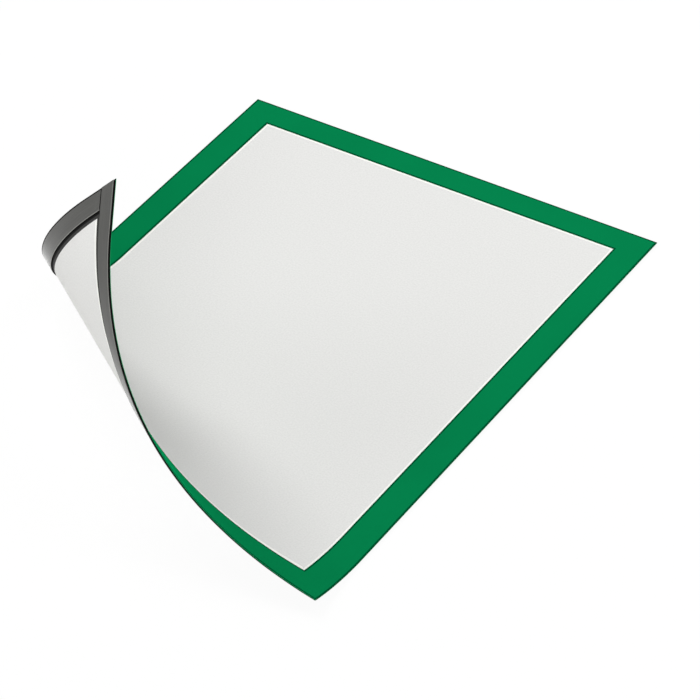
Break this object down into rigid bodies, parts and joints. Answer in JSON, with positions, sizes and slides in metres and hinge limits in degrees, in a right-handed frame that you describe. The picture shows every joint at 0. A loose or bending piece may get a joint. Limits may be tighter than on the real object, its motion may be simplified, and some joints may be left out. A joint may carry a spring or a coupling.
{
  "type": "magnetic display frame",
  "caption": "Flexible magnetic display frame for an A4 sheet: green border, matt window film and magnetic strips behind, lying flat with one corner peeled up and curled over.",
  "frame": {"origin": "middle of the frame's outline on the surface that it lies on, with the corner peeled", "axes": "+X to the right of the sheet as it is read, +Y to its top, +Z out of its front face"},
  "size_m": [0.2366, 0.3224, 0.1175],
  "materials": {
    "printed_border": "satin green print on flexible film, dark grey on its back, with a thin white line along its inner edge",
    "window_film": "matt, finely grained clear film that reads as pale grey over white",
    "magnet_strip": "matt dark grey flexible magnet, black on its cut edges"
  },
  "bodies": {
    "panel": {"border_panel": "printed_border", "window_film_panel": "window_film", "magnet_strip_top": "magnet_strip", "magnet_strip_left": "magnet_strip", "magnet_strip_right": "magnet_strip"},
    "facet_1": {"window_film_fold_1": "window_film", "border_left_fold_1": "printed_border", "border_right_fold_1": "printed_border", "magnet_strip_left_fold_1": "magnet_strip", "magnet_strip_right_fold_1": "magnet_strip"},
    "facet_2": {"window_film_fold_2": "window_film", "border_left_fold_2": "printed_border", "border_bottom_fold_2": "printed_border", "magnet_strip_left_fold_2": "magnet_strip", "magnet_strip_right_fold_2": "magnet_strip", "magnet_strip_bottom_fold_2": "magnet_strip"},
    "facet_3": {"window_film_fold_3": "window_film", "border_left_fold_3": "printed_border", "border_bottom_fold_3": "printed_border", "magnet_strip_left_fold_3": "magnet_strip", "magnet_strip_bottom_fold_3": "magnet_strip"},
    "facet_4": {"window_film_fold_4": "window_film", "border_left_fold_4": "printed_border", "border_bottom_fold_4": "printed_border", "magnet_strip_left_fold_4": "magnet_strip", "magnet_strip_bottom_fold_4": "magnet_strip"},
    "facet_5": {"window_film_fold_5": "window_film", "border_left_fold_5": "printed_border", "border_bottom_fold_5": "printed_border", "magnet_strip_left_fold_5": "magnet_strip", "magnet_strip_bottom_fold_5": "magnet_strip"},
    "facet_6": {"window_film_fold_6": "window_film", "border_left_fold_6": "printed_border", "border_bottom_fold_6": "printed_border", "magnet_strip_left_fold_6": "magnet_strip", "magnet_strip_bottom_fold_6": "magnet_strip"},
    "facet_7": {"window_film_fold_7": "window_film", "border_left_fold_7": "printed_border", "border_bottom_fold_7": "printed_border", "magnet_strip_left_fold_7": "magnet_strip", "magnet_strip_bottom_fold_7": "magnet_strip"},
    "facet_8": {"window_film_fold_8": "window_film", "border_corner_fold_8": "printed_border", "magnet_strip_left_fold_8": "magnet_strip", "magnet_strip_bottom_fold_8": "magnet_strip"},
    "facet_9": {"window_film_fold_9": "window_film", "border_corner_fold_9": "printed_border", "magnet_strip_left_fold_9": "magnet_strip", "magnet_strip_bottom_fold_9": "magnet_strip"}
  },
  "joints": [
    {"name": "peel_fold_1", "type": "hinge", "parent": "panel", "child": "facet_1", "pos_m": [-0.00022, -0.05048, 0.00128], "axis": [-0.8572, 0.515, 0], "range_deg": [-6.46, 1.62]},
    {"name": "peel_fold_2", "type": "hinge", "parent": "facet_1", "child": "facet_2", "pos_m": [-0.00016, -0.07179, 0.00334], "axis": [-0.8382, 0.5453, -0.004], "range_deg": [-14.66, 3.67]},
    {"name": "peel_fold_3", "type": "hinge", "parent": "facet_2", "child": "facet_3", "pos_m": [-0.01054, -0.08544, 0.00993], "axis": [-0.8193, 0.5731, -0.017], "range_deg": [-16.56, 4.15]},
    {"name": "peel_fold_4", "type": "hinge", "parent": "facet_3", "child": "facet_4", "pos_m": [-0.02758, -0.09087, 0.02071], "axis": [-0.8022, 0.5958, -0.0389], "range_deg": [-17.41, 4.36]},
    {"name": "peel_fold_5", "type": "hinge", "parent": "facet_4", "child": "facet_5", "pos_m": [-0.04077, -0.0937, 0.03484], "axis": [-0.7885, 0.6113, -0.0683], "range_deg": [-17.75, 4.44]},
    {"name": "peel_fold_6", "type": "hinge", "parent": "facet_5", "child": "facet_6", "pos_m": [-0.04977, -0.0933, 0.05103], "axis": [-0.7795, 0.6179, -0.1025], "range_deg": [-16.66, 4.17]},
    {"name": "peel_fold_7", "type": "hinge", "parent": "facet_6", "child": "facet_7", "pos_m": [-0.05461, -0.08975, 0.06782], "axis": [-0.7759, 0.6156, -0.1382], "range_deg": [-14.16, 3.55]},
    {"name": "peel_fold_8", "type": "hinge", "parent": "facet_7", "child": "facet_8", "pos_m": [-0.05576, -0.08373, 0.0841], "axis": [-0.7767, 0.6057, -0.1727], "range_deg": [-11.21, 2.81]},
    {"name": "peel_fold_9", "type": "hinge", "parent": "facet_8", "child": "facet_9", "pos_m": [-0.05385, -0.0761, 0.09943], "axis": [-0.781, 0.59, -0.2048], "range_deg": [-5.01, 1.26]}
  ],
  "couplings": [
    {"joint": "peel_fold_1", "follows": "peel_fold_5", "ratio": 0.36338},
    {"joint": "peel_fold_2", "follows": "peel_fold_5", "ratio": 0.82535},
    {"joint": "peel_fold_3", "follows": "peel_fold_5", "ratio": 0.93239},
    {"joint": "peel_fold_4", "follows": "peel_fold_5", "ratio": 0.98028},
    {"joint": "peel_fold_6", "follows": "peel_fold_5", "ratio": 0.93803},
    {"joint": "peel_fold_7", "follows": "peel_fold_5", "ratio": 0.79718},
    {"joint": "peel_fold_8", "follows": "peel_fold_5", "ratio": 0.63099},
    {"joint": "peel_fold_9", "follows": "peel_fold_5", "ratio": 0.28169}
  ]
}
